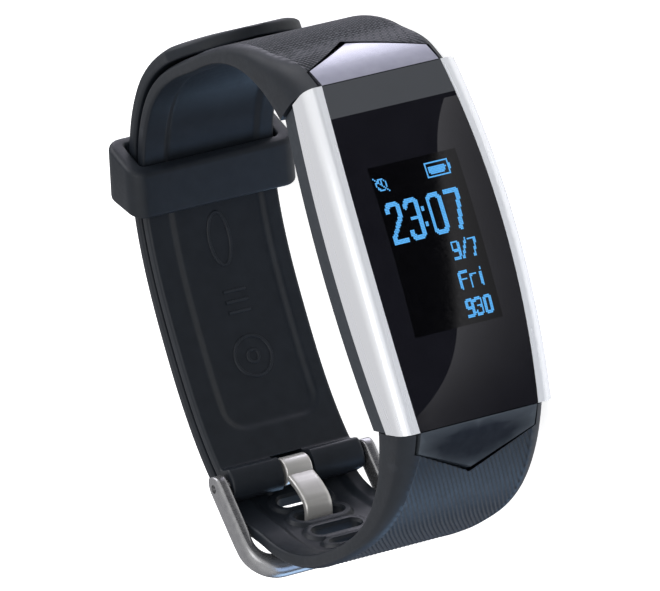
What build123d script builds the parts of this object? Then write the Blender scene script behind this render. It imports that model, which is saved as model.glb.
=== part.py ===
"""Fitness tracker band: a display module between two moulded straps, closed through a buckle.

The closed band lies on its side. X runs towards the display's 12 o'clock end, Y from the glass
towards the back of the wrist loop, and Z along the wrist, up from the surface it lies on.
Outlines are drawn in the loop's own coordinates: u (12 o'clock), d (depth behind the glass) and
w (across the band, towards the display's right, which is down). All sizes are in millimetres.
"""

import math
import os

from build123d import *

# ---- the loop ----
FRONT_Y = -26.775         # where the middle of the glass lies
MID_Z = 10.7              # height of the band's middle plane
CENTRE_X = -0.507         # shifts the loop so that its box is centred
LOOP_HALF_U = 27.9        # half the loop's inside length, 12 to 6 o'clock
LOOP_HALF_D = 22.4        # half the loop's inside depth
LOOP_POWER = 2.62         # 2 is an ellipse, more is squarer
LOOP_D = 27.5             # depth of the loop's centre
FLAT_TOP = 1.15           # how much flatter the loop is at 12 o'clock than at 6 o'clock
FLAT_FROM, FLAT_OVER = 28.0, 30.0     # degrees: where the flattening starts, and over how many it grows

# ---- the straps ----
STRAP = 1.7               # thickness away from the module
ROOT = 5.0                # how much thicker a strap is where it meets the module
ROOT_FROM = 10.0          # degrees past 12 (or 6) o'clock where the root starts to thicken
ROOT_ANGLES = 43.0
ROOT_POWER = 1.6
FILL_FROM, FILL_OVER = 34.0, 14.0     # degrees over which the upper root fills the flattening up again
SHEET_GAP = 0.3           # between the two straps where they overlap
ROOT_HALF = 9.7           # half the width at the module
MIDWAY_HALF = 9.1
BAND_HALF = 8.5           # half the width at the buckle
NARROWING = (6.0, 20.0, 34.0)         # depths where the straps have those three widths
ROOT_INNER = -46.5        # polar angles where the upper strap's two faces meet the module
ROOT_OUTER = -52.8
LOWER_INNER = 227.6       # and where the lower strap's inner face does
PIN_ANGLE = 131.2         # where the buckle pin lies
TAIL_ANGLE = -1.5         # where the tail ends
TAIL_ROUND = 8.0
HOLE_PITCH = 3.9
HOLE_COUNT = 12
HOLES_BEFORE = 2          # holes between the tongue's and the module
HOLE_SIZE = (6.0, 2.0)
KEEPER_FROM, KEEPER_TO = 42.5, 54.5   # polar angles of the keeper's two edges
KEEPER_WALL = 1.4
BUCKLED_HOLE = 144.2      # polar angle of the hole that the tongue is in

# ---- the module ----
GLASS_HALF = 19.3         # half the length of the glass
GLASS_MID, GLASS_END = 8.5, 7.4
CASE_MID, CASE_END = 10.5, 9.6
GLASS_SAG = 1.6           # how far the glass drops at its ends
GLASS_THICK = 1.1
GLUE = 0.2
RAIL_DEPTH = 5.0
CASE_DEPTH = 8.4
END_LEAN = 0.27           # how the module's ends lean in with depth
LUG_AT, LUG_FROM = 19.5, 6.0      # middle of a strap lug, and the depth it starts at
LUG_LONG, LUG_HALF = 4.2, 3.0
LINK_PIN = (20.5, 7.2)            # (u, d) of the pin through a lug
PLAY = 0.35               # gap round a moving or inset piece
RUNNING = 0.05            # radial clearance of a pin in its bore

TRIM_SHOULDER, TRIM_TIP, TRIM_HALF = 21.4, 23.9, 7.3       # the pointed trims' outline in plan
TRIM_THICK = 1.2

# ---- inside the module: each *_AT is the depth behind the glass where a layer starts ----
WELL = (34.0, 13.4)       # the hollow in the mid frame
DISPLAY_AT, DISPLAY_SIZE, DISPLAY_THICK = 1.9, (23.0, 12.8), 1.1
BOARD_AT, BOARD_SIZE, BOARD_THICK = 3.4, (33.0, 13.0), 0.8
CHIPS = {                 # middle (u, w), size (u, w) and height of each piece on the board
    "processor_chip": ((2.0, 0.0), (6.0, 6.0), 0.85),
    "flash_chip": ((9.5, -2.5), (4.9, 3.9), 0.75),
    "accelerometer_chip": ((9.5, 3.0), (2.0, 2.0), 0.8),
    "antenna_strip": ((15.0, 0.0), (1.6, 9.0), 0.8),
}
BATTERY_AT, BATTERY_U, BATTERY_SIZE, BATTERY_THICK = 5.2, 5.0, (22.0, 12.4), 2.4
PAD_THICK = 0.3
MOTOR_AT, MOTOR_U, MOTOR_R, MOTOR_TALL, MOTOR_WALL = 4.6, -11.5, 4.0, 2.6, 0.3
SHAFT_R, ROTOR_R, ROTOR_TALL = 0.4, 3.3, 1.4
SENSOR_AT, SENSOR_BOARD, SENSOR_WINDOW = 7.95, (10.4, 7.4), (10.9, 7.9)
CONTACT_U, CONTACT_W, CONTACT_R = -10.0, 1.5, 0.85
SCREW_PITCHES, SCREW_R, SCREW_HEAD_R = (31.0, 11.6), 0.5, 0.95

# ---- the buckle ----
PIN_R, PIN_END_R = 0.65, 0.45
FRAME_REACH = 10.6        # pin to the middle of the far bar
FRAME_TURN = 196.5        # polar direction of the frame's arms, in degrees
FRAME_HALF = 10.3
FRAME_BAR = 1.4
TONGUE_THICK, TONGUE_HALF = 0.9, 1.7

side = Plane(origin=(CENTRE_X, FRONT_Y, MID_Z))                                   # (u, d), out along -w
face = Plane(origin=side.origin, x_dir=(1, 0, 0), z_dir=(0, 1, 0))                # (u, w), out along d
across = Plane(origin=side.origin, x_dir=(0, 1, 0), z_dir=(1, 0, 0))              # (d, -w), out along u

os.makedirs("parts", exist_ok=True)


def save(part, name):
    """Labels a finished piece and writes it to its own file."""
    part.label = name
    export_step(part, f"parts/{name}.step")


# ---- outlines shared by several pieces ----
def polar(angle, radius, centre=(0.0, LOOP_D)):
    """The point at an angle, in degrees from 12 o'clock towards the back, and a radius."""
    a = math.radians(angle)
    return centre[0] + radius * math.cos(a), centre[1] + radius * math.sin(a)


def smooth(x):
    x = min(1.0, max(0.0, x))
    return x * x * (3 - 2 * x)


def loop_radius(angle):
    """How far the loop's inside face is from its centre: a rounded, squarish oval, a little flatter
    at 12 o'clock. The upper strap's angles run from -53 up, the lower strap's from 233 down."""
    a = math.radians(angle)
    across_u = abs(math.cos(a) / LOOP_HALF_U) ** LOOP_POWER
    across_d = abs(math.sin(a) / LOOP_HALF_D) ** LOOP_POWER
    flattening = FLAT_TOP * smooth((FLAT_FROM - angle) / FLAT_OVER)
    return (across_u + across_d) ** (-1 / LOOP_POWER) - flattening


def thickness(angle):
    """A strap's thickness: thin round the wrist, thick at its root."""
    past_end = max(-angle, angle - 180)
    share = max(0.0, (past_end - ROOT_FROM) / ROOT_ANGLES)
    fill = FLAT_TOP * smooth((-angle - FILL_FROM) / FILL_OVER)
    return STRAP + ROOT * share ** ROOT_POWER + fill


def lift(angle):
    """How far the lower strap has moved out to pass over the upper strap."""
    return (STRAP + SHEET_GAP) * smooth((149 - angle) / 18)


def loop_curve(start, end, outward, steps=22):
    """Points along the loop at a distance from its inside face that depends on the angle."""
    angles = [start + (end - start) * i / steps for i in range(steps + 1)]
    return [polar(a, loop_radius(a) + outward(a)) for a in angles]


def loop_band(inner_start, outer_start, end, inner, outer, steps=22):
    """The face between two curves that follow the loop."""
    with BuildSketch() as band:
        with BuildLine():
            low = Spline(*loop_curve(inner_start, end, inner, steps))
            high = Spline(*loop_curve(outer_start, end, outer, steps))
            Line(low @ 0, high @ 0)
            Line(low @ 1, high @ 1)
        make_face()
    return band.sketch


def barrel(half_length, half_mid, half_end):
    """An outline with straight ends and bowed sides."""
    with BuildSketch() as outline:
        with BuildLine():
            right = ThreePointArc((-half_length, half_end), (0, half_mid), (half_length, half_end))
            left = ThreePointArc((-half_length, -half_end), (0, -half_mid), (half_length, -half_end))
            Line(right @ 0, left @ 0)
            Line(right @ 1, left @ 1)
        make_face()
    return outline.sketch


def end_u(depth):
    """Where the module's leaning end is at a depth."""
    return GLASS_HALF + 0.05 - END_LEAN * (depth - GLASS_SAG)


def crowned(top, bottom, end_bottom=None):
    """Side view of a piece under the bowed front: its top follows the glass, its bottom is flat,
    or follows the glass too where end_bottom is given. Both are depths at the middle."""
    far = bottom if end_bottom is None else end_bottom
    low_end, high_end = end_u(far), end_u(top + GLASS_SAG)
    with BuildSketch() as outline:
        with BuildLine():
            front = ThreePointArc((-high_end, top + GLASS_SAG), (0, top), (high_end, top + GLASS_SAG))
            if end_bottom is None:
                back = Line((-low_end, bottom), (low_end, bottom))
            else:
                back = ThreePointArc((-low_end, end_bottom), (0, bottom), (low_end, end_bottom))
            Line(front @ 0, back @ 0)
            Line(front @ 1, back @ 1)
        make_face()
    return outline.sketch


def width_outline():
    """Half the straps' width against depth, mirrored about the middle plane."""
    wide, midway, narrow = NARROWING
    edge = [(-2, ROOT_HALF), (wide, ROOT_HALF), (midway, MIDWAY_HALF), (narrow, BAND_HALF), (60, BAND_HALF)]
    with BuildSketch() as outline:
        with BuildLine():
            Polyline(*edge, *[(d, -w) for d, w in reversed(edge)], close=True)
        make_face()
    return outline.sketch


pin_at = polar(PIN_ANGLE, loop_radius(PIN_ANGLE))
bar_at = polar(FRAME_TURN, FRAME_REACH, pin_at)


# ---- the module: lens, rails and case ----
with BuildPart() as cover_lens:
    with BuildSketch(side):
        add(crowned(0, GLASS_THICK, GLASS_THICK + GLASS_SAG))
    extrude(amount=CASE_MID, both=True)
    with BuildSketch(face.offset(-1)):
        add(barrel(GLASS_HALF, GLASS_MID, GLASS_END))
    extrude(amount=8, mode=Mode.INTERSECT)
save(cover_lens.part, "cover_lens")

with BuildPart() as lens_gasket:
    with BuildSketch(side):
        add(crowned(GLASS_THICK, GLASS_THICK + GLUE, GLASS_THICK + GLUE + GLASS_SAG))
    extrude(amount=CASE_MID, both=True)
    with BuildSketch(face.offset(-1)):
        add(barrel(GLASS_HALF - 0.3, GLASS_MID - 0.3, GLASS_END - 0.3))
    extrude(amount=8, mode=Mode.INTERSECT)
    with BuildSketch(face.offset(-1)):
        add(barrel(GLASS_HALF - 1.5, GLASS_MID - 1.2, GLASS_END - 1.2))
    extrude(amount=8, mode=Mode.SUBTRACT)
save(lens_gasket.part, "lens_gasket")

for rail_name, hand in (("left_side_rail", -1), ("right_side_rail", 1)):
    with BuildPart() as rail:
        with BuildSketch(side):
            add(crowned(-0.05, RAIL_DEPTH))
        extrude(amount=CASE_MID + 1, both=True)
        with BuildSketch(face.offset(-1)):
            add(barrel(GLASS_HALF + 1, CASE_MID, CASE_END - 0.1))
            add(barrel(GLASS_HALF + 1.2, GLASS_MID, GLASS_END - 0.1), mode=Mode.SUBTRACT)
            with Locations((0, -hand * CASE_MID)):
                Rectangle(3 * GLASS_HALF, 2 * CASE_MID, mode=Mode.SUBTRACT)
        extrude(amount=8, mode=Mode.INTERSECT)
        front_corner = rail.edges().filter_by(lambda e: abs(e.center().Z - MID_Z) > 10).sort_by(Axis.Y)[0]
        fillet(front_corner, 1.4)
    save(rail.part, rail_name)

with BuildPart() as mid_frame:
    with BuildSketch(side):
        add(crowned(GLASS_THICK + GLUE, RAIL_DEPTH))
    extrude(amount=CASE_MID, both=True)
    with BuildSketch(face.offset(-1)):
        add(barrel(GLASS_HALF, GLASS_MID, GLASS_END))
    extrude(amount=8, mode=Mode.INTERSECT)
    low, high = end_u(CASE_DEPTH), end_u(RAIL_DEPTH)
    with BuildSketch(face.offset(RAIL_DEPTH)):
        add(barrel(high, CASE_MID - 0.35, CASE_END - 0.25))
    with BuildSketch(face.offset(CASE_DEPTH)):
        add(barrel(low, CASE_MID - 0.5, CASE_END - 0.4))
    loft()
    with BuildSketch(face.offset(-1)):
        RectangleRounded(*WELL, 1.5)
    extrude(amount=12, mode=Mode.SUBTRACT)
    for hand in (-1, 1):                               # lugs that the straps hang on
        with BuildSketch(face.offset(LUG_FROM)):
            with Locations((hand * LUG_AT, 0)):
                Rectangle(LUG_LONG, 2 * LUG_HALF)
        extrude(amount=2.4)
        with BuildSketch(side):
            with Locations((hand * LINK_PIN[0], LINK_PIN[1])):
                Circle(PIN_R)
        extrude(amount=6, both=True, mode=Mode.SUBTRACT)
save(mid_frame.part, "mid_frame")

with BuildPart() as back_cover:
    with BuildSketch(face.offset(CASE_DEPTH + 0.2)):
        add(barrel(end_u(CASE_DEPTH) - 0.1, CASE_MID - 0.65, CASE_END - 0.55))
    with BuildSketch(face.offset(CASE_DEPTH + 1.5)):
        add(barrel(end_u(CASE_DEPTH) - 1.6, CASE_MID - 2.65, CASE_END - 2.55))
    loft()
    with BuildSketch(face.offset(CASE_DEPTH)):
        RectangleRounded(11, 8, 1)
    extrude(amount=3, mode=Mode.SUBTRACT)
    with BuildSketch(face.offset(CASE_DEPTH)):
        with Locations((CONTACT_U, -CONTACT_W), (CONTACT_U, CONTACT_W)):
            Circle(CONTACT_R + RUNNING)
        with GridLocations(*SCREW_PITCHES, 2, 2):
            Circle(SCREW_R)
    extrude(amount=3, mode=Mode.SUBTRACT)
    with BuildSketch(face.offset(CASE_DEPTH + 0.8)):
        with GridLocations(*SCREW_PITCHES, 2, 2):
            Circle(SCREW_HEAD_R + RUNNING)
    extrude(amount=3, mode=Mode.SUBTRACT)
save(back_cover.part, "back_cover")

with BuildPart() as case_seal:
    with BuildSketch(face.offset(CASE_DEPTH)):
        RectangleRounded(2 * GLASS_HALF - 3.4, 14.6, 2)
        RectangleRounded(2 * GLASS_HALF - 4.4, 13.6, 1.5, mode=Mode.SUBTRACT)
    extrude(amount=0.2)
save(case_seal.part, "case_seal")

with BuildPart() as case_screws:
    with BuildSketch(face.offset(CASE_DEPTH + 0.2)):
        with GridLocations(*SCREW_PITCHES, 2, 2):
            Circle(SCREW_R)
    extrude(amount=0.6)
    with BuildSketch(face.offset(CASE_DEPTH + 0.8)):
        with GridLocations(*SCREW_PITCHES, 2, 2):
            Circle(SCREW_HEAD_R)
            Rectangle(0.9, 0.25, mode=Mode.SUBTRACT)
            Rectangle(0.25, 0.9, mode=Mode.SUBTRACT)
    extrude(amount=0.35)
save(case_screws.part, "case_screws")


# ---- the pointed trims over the ends of the module ----
def pentagon(hand, grow=0.0):
    """The trim's outline in plan: straight sides and a point, larger all round by grow."""
    base, tip, half = GLASS_HALF + 0.1 - grow, TRIM_TIP + 1.3 * grow, TRIM_HALF + grow
    points = [(base, -half), (TRIM_SHOULDER, -half), (tip, 0), (TRIM_SHOULDER, half), (base, half)]
    with BuildSketch() as outline:
        with BuildLine():
            Polyline(*[(hand * u, w) for u, w in points], close=True)
        make_face()
    return outline.sketch


def end_band(hand, top, bottom):
    """A strip of the straps' outer face near the module, between two distances below it."""
    first, last = (ROOT_OUTER - 2, -38) if hand > 0 else (182 - ROOT_OUTER, 218)
    return loop_band(first, first, last, lambda a: thickness(a) - bottom, lambda a: thickness(a) - top, 8)


for trim_name, hand in (("upper_end_trim", 1), ("lower_end_trim", -1)):
    with BuildPart() as trim:
        with BuildSketch(side):
            add(end_band(hand, 0.0, TRIM_THICK))
        extrude(amount=CASE_MID, both=True)
        with BuildSketch(face.offset(-1)):
            add(pentagon(hand))
        extrude(amount=12, mode=Mode.INTERSECT)
    save(trim.part, trim_name)


# ---- inside the module ----
with BuildPart() as display_panel:
    with BuildSketch(face.offset(DISPLAY_AT)):
        RectangleRounded(*DISPLAY_SIZE, 0.4)
    extrude(amount=DISPLAY_THICK)
save(display_panel.part, "display_panel")

with BuildPart() as display_flex:
    with BuildSketch(face.offset(DISPLAY_AT + DISPLAY_THICK)):
        with Locations((-8, 0)):
            Rectangle(9, 7)
    extrude(amount=0.15)
save(display_flex.part, "display_flex")

with BuildPart() as touch_sensor_film:
    with BuildSketch(face.offset(2.6)):
        with Locations((-14.3, 0)):
            RectangleRounded(4.4, 6.5, 0.8)
    extrude(amount=0.15)
save(touch_sensor_film.part, "touch_sensor_film")

with BuildPart() as main_board:
    with BuildSketch(face.offset(BOARD_AT)):
        RectangleRounded(*BOARD_SIZE, 1.2)
    extrude(amount=BOARD_THICK)
save(main_board.part, "main_board")

for chip_name, (middle, size, height) in CHIPS.items():
    with BuildPart() as chip:
        with BuildSketch(face.offset(BOARD_AT + BOARD_THICK)):
            with Locations(middle):
                Rectangle(*size)
        extrude(amount=height)
    save(chip.part, chip_name)

with BuildPart() as battery:
    with BuildSketch(face.offset(BATTERY_AT)):
        with Locations((BATTERY_U, 0)):
            RectangleRounded(*BATTERY_SIZE, 1.2)
    extrude(amount=BATTERY_THICK)
save(battery.part, "battery")

with BuildPart() as battery_pad:
    with BuildSketch(face.offset(BATTERY_AT + BATTERY_THICK)):
        with Locations((BATTERY_U, 0)):
            RectangleRounded(BATTERY_SIZE[0] - 2, BATTERY_SIZE[1] - 2, 1)
    extrude(amount=PAD_THICK)
save(battery_pad.part, "battery_pad")

motor = face.offset(MOTOR_AT)
with BuildPart() as motor_case:
    with BuildSketch(motor):
        with Locations((MOTOR_U, 0)):
            Circle(MOTOR_R)
    extrude(amount=MOTOR_TALL)
    with BuildSketch(motor.offset(MOTOR_WALL)):
        with Locations((MOTOR_U, 0)):
            Circle(MOTOR_R - MOTOR_WALL)
    extrude(amount=MOTOR_TALL - 2 * MOTOR_WALL, mode=Mode.SUBTRACT)
save(motor_case.part, "vibration_motor_case")

with BuildPart() as motor_shaft:
    with BuildSketch(motor.offset(MOTOR_WALL)):
        with Locations((MOTOR_U, 0)):
            Circle(SHAFT_R)
    extrude(amount=MOTOR_TALL - 2 * MOTOR_WALL)
save(motor_shaft.part, "vibration_motor_shaft")

with BuildPart() as motor_rotor:
    with BuildSketch(motor.offset(2 * MOTOR_WALL)):
        with Locations((MOTOR_U, 0)):
            Circle(ROTOR_R)
            with Locations((-2.4, 0)):
                Rectangle(2.6, 8, mode=Mode.SUBTRACT)
            Circle(SHAFT_R + RUNNING, mode=Mode.SUBTRACT)
    extrude(amount=ROTOR_TALL)
save(motor_rotor.part, "vibration_motor_rotor")

with BuildPart() as sensor_board:
    with BuildSketch(face.offset(SENSOR_AT)):
        Rectangle(*SENSOR_BOARD)
    extrude(amount=0.45)
save(sensor_board.part, "sensor_board")

with BuildPart() as green_leds:
    with BuildSketch(face.offset(CASE_DEPTH)):
        with Locations((-3.4, 0), (3.4, 0)):
            Rectangle(1.6, 1.6)
    extrude(amount=0.5)
save(green_leds.part, "green_leds")

with BuildPart() as photodiode:
    with BuildSketch(face.offset(CASE_DEPTH)):
        Rectangle(2.4, 2.4)
    extrude(amount=0.5)
save(photodiode.part, "photodiode")

with BuildPart() as sensor_window:
    with BuildSketch(face.offset(9.0)):
        RectangleRounded(*SENSOR_WINDOW, 0.95)
    extrude(amount=1.2)
    fillet(sensor_window.faces().sort_by(Axis.Y)[-1].edges(), 0.4)
save(sensor_window.part, "sensor_window")

with BuildPart() as charging_contacts:
    with BuildSketch(face.offset(CASE_DEPTH + 0.2)):
        with Locations((CONTACT_U, -CONTACT_W), (CONTACT_U, CONTACT_W)):
            Circle(CONTACT_R)
    extrude(amount=1.2)
save(charging_contacts.part, "charging_contacts")

for pin_name, hand in (("upper_link_pin", 1), ("lower_link_pin", -1)):
    with BuildPart() as link_pin:
        with BuildSketch(side):
            with Locations((hand * LINK_PIN[0], LINK_PIN[1])):
                Circle(PIN_R)
        extrude(amount=8, both=True)
    save(link_pin.part, pin_name)


# ---- the straps ----
def cut_root(hand):
    """Cuts the trim's pocket, the lug's slot and the link pin's bore, in the strap being built."""
    with BuildPart(mode=Mode.PRIVATE) as tool:
        with BuildSketch(side):
            add(end_band(hand, -1.5, TRIM_THICK + RUNNING))
        extrude(amount=CASE_MID, both=True)
        with BuildSketch(face.offset(-2)):
            add(pentagon(hand, PLAY))
        extrude(amount=14, mode=Mode.INTERSECT)
        with BuildSketch(face.offset(LUG_FROM - 0.1)):
            with Locations((hand * LUG_AT, 0)):
                Rectangle(LUG_LONG + 0.2, 2 * LUG_HALF + 0.2)
        extrude(amount=2.6)
        with BuildSketch(side):
            with Locations((hand * LINK_PIN[0], LINK_PIN[1])):
                Circle(PIN_R)
        extrude(amount=8, both=True)
    return tool.part


with BuildPart() as upper_strap:
    with BuildSketch(side):
        add(loop_band(ROOT_INNER, ROOT_OUTER, PIN_ANGLE, lambda a: 0.0, thickness))
        with Locations(pin_at):
            Circle(STRAP)
    extrude(amount=ROOT_HALF + 1, both=True)
    with BuildSketch(across.offset(-40)):
        add(width_outline())
    extrude(amount=80, mode=Mode.INTERSECT)
    with BuildSketch(side):
        with Locations(pin_at):
            Circle(PIN_R)
    extrude(amount=ROOT_HALF + 1, both=True, mode=Mode.SUBTRACT)
    with BuildSketch(side):                            # room for the tongue
        with Locations((pin_at[0] - 2.0, pin_at[1])):
            Rectangle(8.2, 12)
    extrude(amount=TONGUE_HALF + PLAY, both=True, mode=Mode.SUBTRACT)
    add(cut_root(1), mode=Mode.SUBTRACT)
save(upper_strap.part, "upper_strap")


def along_strap(angle, length):
    """The polar angle a length further along the lower strap, towards its tail."""
    return angle - math.degrees(length / (loop_radius(angle) + lift(angle)))


def hole_angles():
    """Polar angles of the strap's holes, a pitch apart, starting with those nearest the module."""
    a = BUCKLED_HOLE
    for _ in range(HOLES_BEFORE):
        a = along_strap(a, -HOLE_PITCH)
    angles = []
    for _ in range(HOLE_COUNT):
        angles.append(a)
        a = along_strap(a, HOLE_PITCH)
    return angles


with BuildPart() as lower_strap:
    with BuildSketch(side):
        add(loop_band(LOWER_INNER, 180 - ROOT_OUTER, TAIL_ANGLE,
                      lift, lambda a: lift(a) + thickness(a), 44))
    extrude(amount=ROOT_HALF + 1, both=True)
    with BuildSketch(across.offset(-40)):
        add(width_outline())
    extrude(amount=80, mode=Mode.INTERSECT)
    tail_d = polar(TAIL_ANGLE, loop_radius(TAIL_ANGLE))[1]
    with BuildSketch(across.offset(20)):               # round the tail's end
        with Locations((tail_d + TAIL_ROUND / 2 - 1, 0)):
            Rectangle(TAIL_ROUND + 2, 24)
        with Locations((tail_d + TAIL_ROUND, 0)):
            Ellipse(TAIL_ROUND, 9.0, mode=Mode.SUBTRACT)
    extrude(amount=20, mode=Mode.SUBTRACT)
    for a in hole_angles():
        out = Vector(math.cos(math.radians(a)), math.sin(math.radians(a)), 0)
        u, d = polar(a, loop_radius(a) + lift(a) + STRAP / 2)
        with BuildSketch(Plane(origin=side.from_local_coords((u, d, 0)), x_dir=(0, 0, 1), z_dir=out)):
            SlotOverall(*HOLE_SIZE)
        extrude(amount=2.2, both=True, mode=Mode.SUBTRACT)
    add(cut_root(-1), mode=Mode.SUBTRACT)
save(lower_strap.part, "lower_strap")


# ---- the keeper ----
over_both = 2 * STRAP + SHEET_GAP + PLAY
with BuildPart() as keeper_loop:
    with BuildSketch(side):
        add(loop_band(KEEPER_FROM, KEEPER_FROM, KEEPER_TO,
                      lambda a: -PLAY - KEEPER_WALL, lambda a: over_both + KEEPER_WALL, 8))
    extrude(amount=MID_Z, both=True)
    with BuildSketch(side):
        add(loop_band(KEEPER_FROM - 4, KEEPER_FROM - 4, KEEPER_TO + 4,
                      lambda a: -PLAY, lambda a: over_both, 8))
    extrude(amount=BAND_HALF + PLAY, both=True, mode=Mode.SUBTRACT)
save(keeper_loop.part, "keeper_loop")


# ---- the buckle ----
with BuildPart() as buckle_pin:
    with BuildSketch(side):
        with Locations(pin_at):
            Circle(PIN_R)
    extrude(amount=BAND_HALF, both=True)
    with BuildSketch(side):
        with Locations(pin_at):
            Circle(PIN_END_R)
    extrude(amount=FRAME_HALF - 0.4, both=True)
save(buckle_pin.part, "buckle_pin")

arm = Vector(math.cos(math.radians(FRAME_TURN)), math.sin(math.radians(FRAME_TURN)), 0)
frame_plane = Plane(origin=side.from_local_coords((*pin_at, 0)), x_dir=arm, z_dir=arm.cross(Vector(0, 0, 1)))
with BuildPart() as buckle_frame:
    with BuildSketch(frame_plane):                     # the near corners are cut away with the ears' ends
        with Locations((FRAME_REACH / 2 + FRAME_BAR / 2 - 5, 0)):
            RectangleRounded(FRAME_REACH + FRAME_BAR + 10, 2 * FRAME_HALF, 4.2)
    extrude(amount=3, both=True)
    with BuildSketch(frame_plane):
        with Locations((FRAME_REACH / 2 - FRAME_BAR - 3, 0)):
            RectangleRounded(FRAME_REACH + 6, 2 * (BAND_HALF + 0.3), 1.0)
    extrude(amount=4, both=True, mode=Mode.SUBTRACT)
    middle = ((pin_at[0] + bar_at[0]) / 2, (pin_at[1] + bar_at[1]) / 2)
    with BuildSketch(side):
        with Locations(Location((*middle, 0), (0, 0, FRAME_TURN))):
            SlotOverall(FRAME_REACH + 2 * FRAME_BAR, 2 * FRAME_BAR)
    extrude(amount=FRAME_HALF + 1, both=True, mode=Mode.INTERSECT)
    with BuildSketch(side):
        with Locations(pin_at):
            Circle(PIN_END_R + RUNNING)
    extrude(amount=FRAME_HALF + 1, both=True, mode=Mode.SUBTRACT)
save(buckle_frame.part, "buckle_frame")

with BuildPart() as buckle_tongue:
    with BuildSketch(side):
        with BuildLine():
            Spline((-18.2, 45.9), (-19.9, 44.5), (-21.8, 43.8), (-23.9, 44.8), (-25.8, 46.15), (-28.4, 46.25))
        trace(line_width=TONGUE_THICK)
        with Locations(pin_at):
            Circle(PIN_R + RUNNING + TONGUE_THICK)
            Circle(PIN_R + RUNNING, mode=Mode.SUBTRACT)
    extrude(amount=TONGUE_HALF, both=True)
save(buckle_tongue.part, "buckle_tongue")
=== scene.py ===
import math

import bmesh
import bpy
import numpy as np
from mathutils import Matrix, Vector


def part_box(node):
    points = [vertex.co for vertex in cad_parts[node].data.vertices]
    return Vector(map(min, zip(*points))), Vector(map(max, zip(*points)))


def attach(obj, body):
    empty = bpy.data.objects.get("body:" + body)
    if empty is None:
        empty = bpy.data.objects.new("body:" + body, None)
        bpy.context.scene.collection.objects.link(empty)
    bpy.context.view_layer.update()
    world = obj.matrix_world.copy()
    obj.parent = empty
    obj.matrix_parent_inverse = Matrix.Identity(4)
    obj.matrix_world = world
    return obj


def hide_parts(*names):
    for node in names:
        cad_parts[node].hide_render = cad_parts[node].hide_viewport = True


# A fitness tracker band, lying on its side with its display towards -Y and 12 o'clock towards +X.
# The module, its inner pieces, the pins and the trims are the CAD's own, with finished materials.
# The two straps, the keeper loop, the buckle frame and its tongue are built here in more detail.
# The straps are drawn in the band's own coordinates, in millimetres: s is the distance along a
# strap from the module, w is across it (towards the display's right, which is down), and t is the
# distance out from the face that lies on the wrist.

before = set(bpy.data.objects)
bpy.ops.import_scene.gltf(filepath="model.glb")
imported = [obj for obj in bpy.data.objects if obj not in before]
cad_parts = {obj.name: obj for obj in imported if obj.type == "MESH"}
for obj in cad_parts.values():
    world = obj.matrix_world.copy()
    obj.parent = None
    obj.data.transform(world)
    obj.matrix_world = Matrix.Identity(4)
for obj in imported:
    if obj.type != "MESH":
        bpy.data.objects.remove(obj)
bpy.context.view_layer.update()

MM = 0.001
MIDDLE = 0.5

# ---- the loop, the same as in the CAD ----
LOOP_HALF_U, LOOP_HALF_D, LOOP_POWER, LOOP_D = 27.9, 22.4, 2.62, 27.5
FLAT_TOP, FLAT_FROM, FLAT_OVER = 1.15, 28.0, 30.0         # how much flatter it is at 12 o'clock
STRAP, ROOT, ROOT_FROM, ROOT_ANGLES, ROOT_POWER = 1.7, 5.0, 10.0, 43.0, 1.6
FILL_FROM, FILL_OVER = 34.0, 14.0         # where the upper root fills the flattening up again
ROOT_INNER = {1: -46.5, -1: -47.6}        # where each strap's wrist face meets the module, in degrees
ROOT_OUTER = -52.8
PIN_ANGLE = 131.2                         # the buckle pin, on the upper strap
LEAN_REACH = 14.0                         # how far along a strap its end's lean dies out
TAIL_ANGLE = 181.5                        # the lower strap's tip
WIDTHS = ((6, 20, 34), (9.7, 9.1, 8.5))   # depth behind the glass, and half the straps' width there
LIFT, LIFT_FROM, LIFT_ANGLES = 2.0, 31.0, 18.0      # how the lower strap passes over the upper one
TAIL_ROUND, TAIL_HALF = 8.0, 9.0
HOLE_PITCH, HOLE_COUNT, HOLES_BEFORE = 3.9, 12, 2
HOLE_HALF_W, HOLE_R = 3.0, 1.0
BUCKLED_HOLE = 35.8                       # the hole that the tongue is in, in the lower strap's angles

# ---- moulded detail of the straps ----
STEP = 0.25                               # spacing of the stations along a strap
OUTER_POINTS, WRIST_POINTS = 161, 121     # points across its outer face and its wrist face
CORNER_START = 24                         # degrees: the crease where the outer corner's round begins
RIB_PITCH, RIB_SLOPE, RIB_DEPTH = 0.53, 0.605, 0.17
RIB_LENGTH, RIB_FADE, RIB_EDGE = 28.0, 3.0, 0.18
SIDE_BAND, SIDE_BAND_ROOT, SIDE_BAND_REACH = 1.0, 1.3, 7.0
SIDE_DROP = 0.36                          # share of the thickness that the outer corners take away
UPPER_DROP, UPPER_DROP_REACH = 0.18, 13.0 # and how much more the upper strap's take near the module
INNER_ROUND = 0.35
RECESS_HALF, RECESS_MID, RECESS_ROUND = 5.8, 0.5, 2.4      # the sunk part of the wrist face
RECESS, RECESS_STEP, PANEL_STEP = 0.4, 1.1, 0.4
PANEL_HALF, PANEL = 4.9, 0.2              # sunk panel round the holes on the outer face
HOLE_RIM, HOLE_RIM_FADE = 0.75, 0.4
HOLE_FLARE, FLARE_DEEP = 0.22, 0.3        # how much wider a hole is at the faces, and how deep that goes
TIP_EDGE, TIP_THINNING = 2.2, 0.42        # the tail's rounded edge: its length, and its share of each half
RECESS_START, RECESS_BEFORE_PIN = 6.5, 6.3          # where the wrist face's sunk part begins and ends
PANEL_PAST_HOLES = 4.5
ROLL_BLEND_FROM, ROLL_BLEND = 2.3, 1.9    # how the strap swells into its roll, before the pin

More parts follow.
